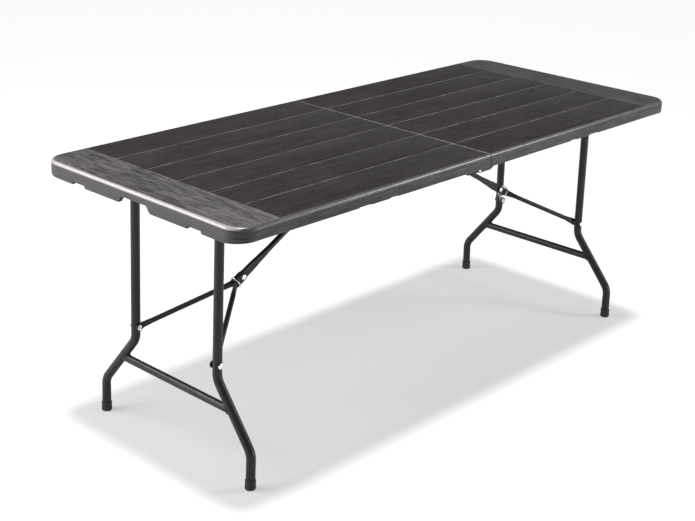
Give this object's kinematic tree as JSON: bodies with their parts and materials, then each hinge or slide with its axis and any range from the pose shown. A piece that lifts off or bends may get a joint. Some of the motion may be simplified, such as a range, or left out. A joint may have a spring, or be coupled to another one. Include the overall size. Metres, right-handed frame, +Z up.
{
  "type": "folding table",
  "caption": "Rectangular table with a moulded plank-pattern top that folds at the middle, on folding tube leg frames with jointed braces.",
  "frame": {"origin": "on the floor, under the middle of the table top", "axes": "+X along the length of the top, +Y across it towards the back, +Z up"},
  "size_m": [1.83, 0.76, 0.74],
  "materials": {
    "moulded_top": "matt blow-moulded polyethylene with wood grain",
    "painted_steel": "satin black-grey powder coat",
    "zinc_steel": "bright zinc plate",
    "foot_rubber": "matt black rubber",
    "bush_nylon": "matt black nylon"
  },
  "bodies": {
    "left_half": {"back_hinge_left_leaf": "painted_steel", "back_hinge_pin": "zinc_steel", "front_hinge_left_leaf": "painted_steel", "front_hinge_pin": "zinc_steel", "left_back_inner_rail_screw": "zinc_steel", "left_back_outer_rail_screw": "zinc_steel", "left_back_pivot_bracket": "painted_steel", "left_back_pivot_bush": "bush_nylon", "left_back_rail": "painted_steel", "left_brace_cross_tube": "painted_steel", "left_front_inner_rail_screw": "zinc_steel", "left_front_outer_rail_screw": "zinc_steel", "left_front_pivot_bracket": "painted_steel", "left_front_pivot_bush": "bush_nylon", "left_front_rail": "painted_steel", "left_panel": "moulded_top"},
    "right_half": {"back_hinge_right_leaf": "painted_steel", "front_hinge_right_leaf": "painted_steel", "right_back_inner_rail_screw": "zinc_steel", "right_back_outer_rail_screw": "zinc_steel", "right_back_pivot_bracket": "painted_steel", "right_back_pivot_bush": "bush_nylon", "right_back_rail": "painted_steel", "right_brace_cross_tube": "painted_steel", "right_front_inner_rail_screw": "zinc_steel", "right_front_outer_rail_screw": "zinc_steel", "right_front_pivot_bracket": "painted_steel", "right_front_pivot_bush": "bush_nylon", "right_front_rail": "painted_steel", "right_panel": "moulded_top"},
    "left_lower_arms": {"left_back_brace_lower_arm": "painted_steel", "left_front_brace_lower_arm": "painted_steel"},
    "left_leg_frame": {"left_back_foot": "foot_rubber", "left_back_leg_rivet": "zinc_steel", "left_back_leg_tube": "painted_steel", "left_front_foot": "foot_rubber", "left_front_leg_rivet": "zinc_steel", "left_front_leg_tube": "painted_steel", "left_leg_pivot_tube": "painted_steel", "left_leg_stretcher": "painted_steel"},
    "left_upper_arm": {"left_brace_upper_arm": "painted_steel", "left_knuckle_rivet": "zinc_steel"},
    "left_lock_ring": {"left_lock_ring": "zinc_steel"},
    "right_lower_arms": {"right_back_brace_lower_arm": "painted_steel", "right_front_brace_lower_arm": "painted_steel"},
    "right_leg_frame": {"right_back_foot": "foot_rubber", "right_back_leg_rivet": "zinc_steel", "right_back_leg_tube": "painted_steel", "right_front_foot": "foot_rubber", "right_front_leg_rivet": "zinc_steel", "right_front_leg_tube": "painted_steel", "right_leg_pivot_tube": "painted_steel", "right_leg_stretcher": "painted_steel"},
    "right_upper_arm": {"right_brace_upper_arm": "painted_steel", "right_knuckle_rivet": "zinc_steel"},
    "right_lock_ring": {"right_lock_ring": "zinc_steel"}
  },
  "joints": [
    {"name": "centre_fold", "type": "hinge", "parent": "left_half", "child": "right_half", "pos_m": [0, 0, 0.688], "axis": [0, 1, 0], "range_deg": [0, 90]},
    {"name": "left_leg_fold", "type": "hinge", "parent": "left_half", "child": "left_leg_frame", "pos_m": [-0.782, 0, 0.703], "axis": [0, -1, 0], "range_deg": [0, 91.6]},
    {"name": "left_upper_arm_swing", "type": "hinge", "parent": "left_half", "child": "left_upper_arm", "pos_m": [-0.03, 0, 0.722], "axis": [0, 1, 0], "range_deg": [0, 29.29]},
    {"name": "left_knuckle_fold", "type": "hinge", "parent": "left_upper_arm", "child": "left_lower_arms", "pos_m": [-0.56203, 0, 0.42518], "axis": [0, -1, 0], "range_deg": [0, 175.76]},
    {"name": "left_lock_ring_slide", "type": "slide", "parent": "left_upper_arm", "child": "left_lock_ring", "axis": [0.8832, 0, 0.469], "range_m": [0, 0.2905]},
    {"name": "right_leg_fold", "type": "hinge", "parent": "right_half", "child": "right_leg_frame", "pos_m": [0.782, 0, 0.703], "axis": [0, 1, 0], "range_deg": [0, 91.6]},
    {"name": "right_upper_arm_swing", "type": "hinge", "parent": "right_half", "child": "right_upper_arm", "pos_m": [0.03, 0, 0.722], "axis": [0, -1, 0], "range_deg": [0, 29.29]},
    {"name": "right_knuckle_fold", "type": "hinge", "parent": "right_upper_arm", "child": "right_lower_arms", "pos_m": [0.56203, 0, 0.42518], "axis": [0, 1, 0], "range_deg": [0, 175.76]},
    {"name": "right_lock_ring_slide", "type": "slide", "parent": "right_upper_arm", "child": "right_lock_ring", "axis": [-0.8832, 0, 0.469], "range_m": [0, 0.2905]}
  ],
  "couplings": [
    {"joint": "left_upper_arm_swing", "follows": "left_leg_fold", "ratio": 0.31923},
    {"joint": "left_knuckle_fold", "follows": "left_leg_fold", "ratio": 1.9183},
    {"joint": "left_lock_ring_slide", "follows": "left_leg_fold", "m_per_rad": 0.18138},
    {"joint": "right_upper_arm_swing", "follows": "right_leg_fold", "ratio": 0.31923},
    {"joint": "right_knuckle_fold", "follows": "right_leg_fold", "ratio": 1.9183},
    {"joint": "right_lock_ring_slide", "follows": "right_leg_fold", "m_per_rad": 0.18138}
  ]
}
